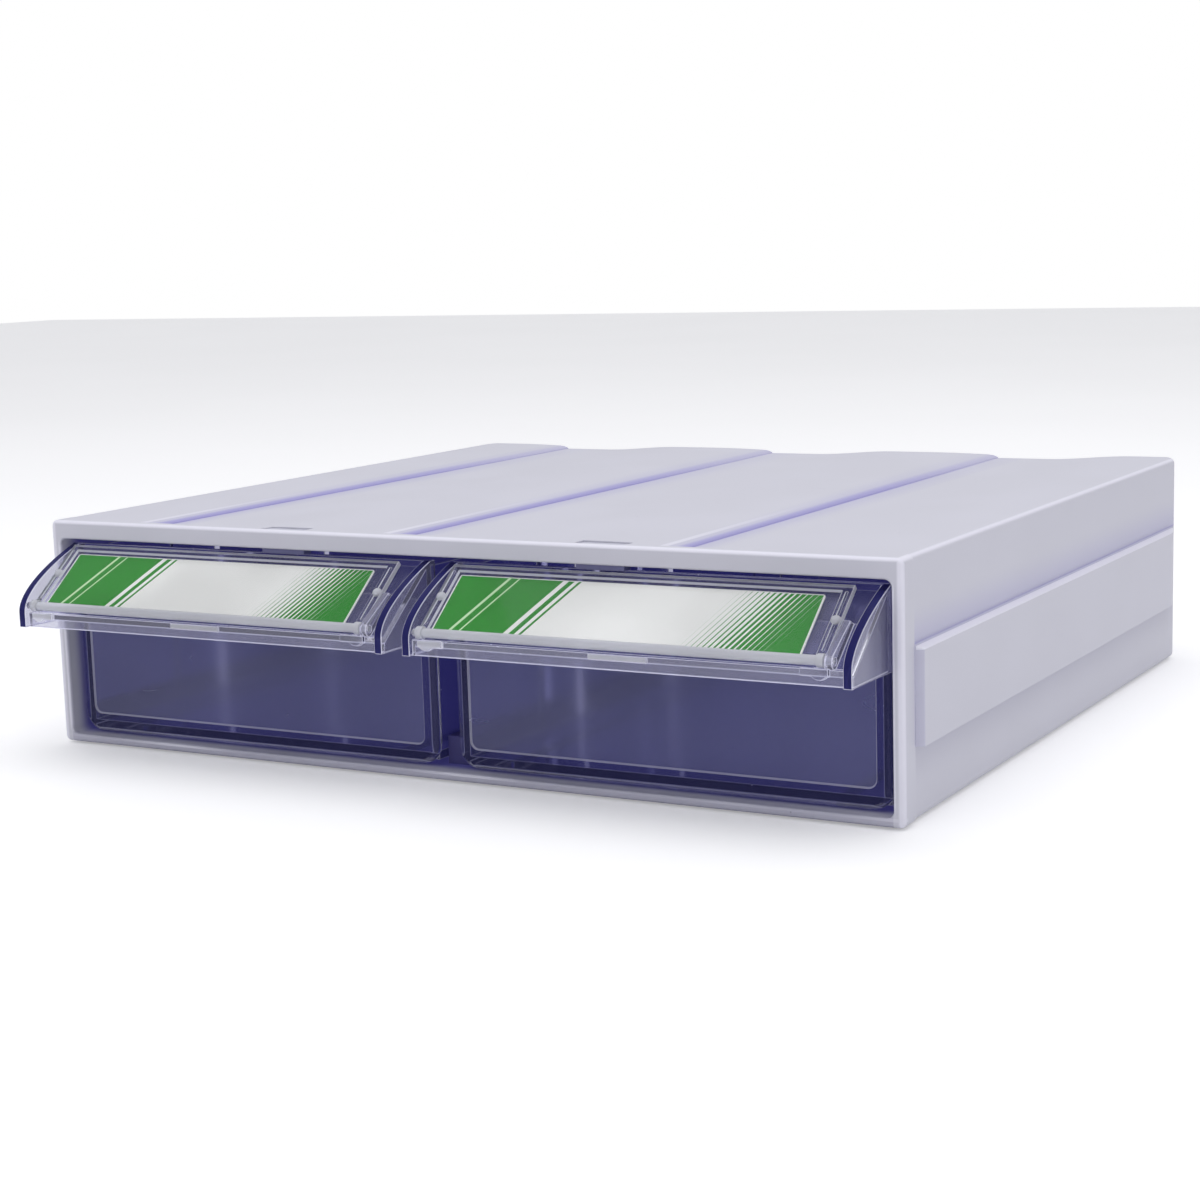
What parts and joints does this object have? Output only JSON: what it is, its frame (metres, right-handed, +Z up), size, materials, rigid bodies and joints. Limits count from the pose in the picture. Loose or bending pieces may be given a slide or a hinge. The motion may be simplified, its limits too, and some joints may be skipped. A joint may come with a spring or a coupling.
{
  "type": "disc storage drawer case",
  "caption": "Low desktop case with clear pull-out drawers for discs, side by side; each has a sloped label visor as its pull, with a paper card under a hinged cover.",
  "frame": {"origin": "on the surface the case stands on, under the middle of the case's width and depth", "axes": "+X across the front to the right, +Y to the rear, +Z up; the drawers open along -Y"},
  "size_m": [0.3452, 0.336, 0.085],
  "materials": {
    "case_plastic": "satin moulded plastic, pale lavender grey",
    "clip_plastic": "satin moulded plastic, pale grey",
    "drawer_plastic": "clear smoke-blue moulded plastic, polished",
    "cover_plastic": "clear moulded plastic, polished",
    "card_paper": "printed paper card"
  },
  "bodies": {
    "case": {"case_shell": "case_plastic", "left_stop_clip": "clip_plastic", "right_stop_clip": "clip_plastic"},
    "left_drawer": {"left_drawer": "drawer_plastic", "left_label_card": "card_paper"},
    "right_drawer": {"right_drawer": "drawer_plastic", "right_label_card": "card_paper"},
    "left_cover": {"left_label_cover": "cover_plastic"},
    "right_cover": {"right_label_cover": "cover_plastic"}
  },
  "joints": [
    {"name": "left_drawer_slide", "type": "slide", "parent": "case", "child": "left_drawer", "axis": [0, -1, 0], "range_m": [0, 0.255]},
    {"name": "right_drawer_slide", "type": "slide", "parent": "case", "child": "right_drawer", "axis": [0, -1, 0], "range_m": [0, 0.255]},
    {"name": "left_cover_hinge", "type": "hinge", "parent": "left_drawer", "child": "left_cover", "pos_m": [-0.084, -0.17758, 0.05661], "axis": [1, 0, 0], "range_deg": [0, 110]},
    {"name": "right_cover_hinge", "type": "hinge", "parent": "right_drawer", "child": "right_cover", "pos_m": [0.084, -0.17758, 0.05661], "axis": [1, 0, 0], "range_deg": [0, 110]}
  ]
}
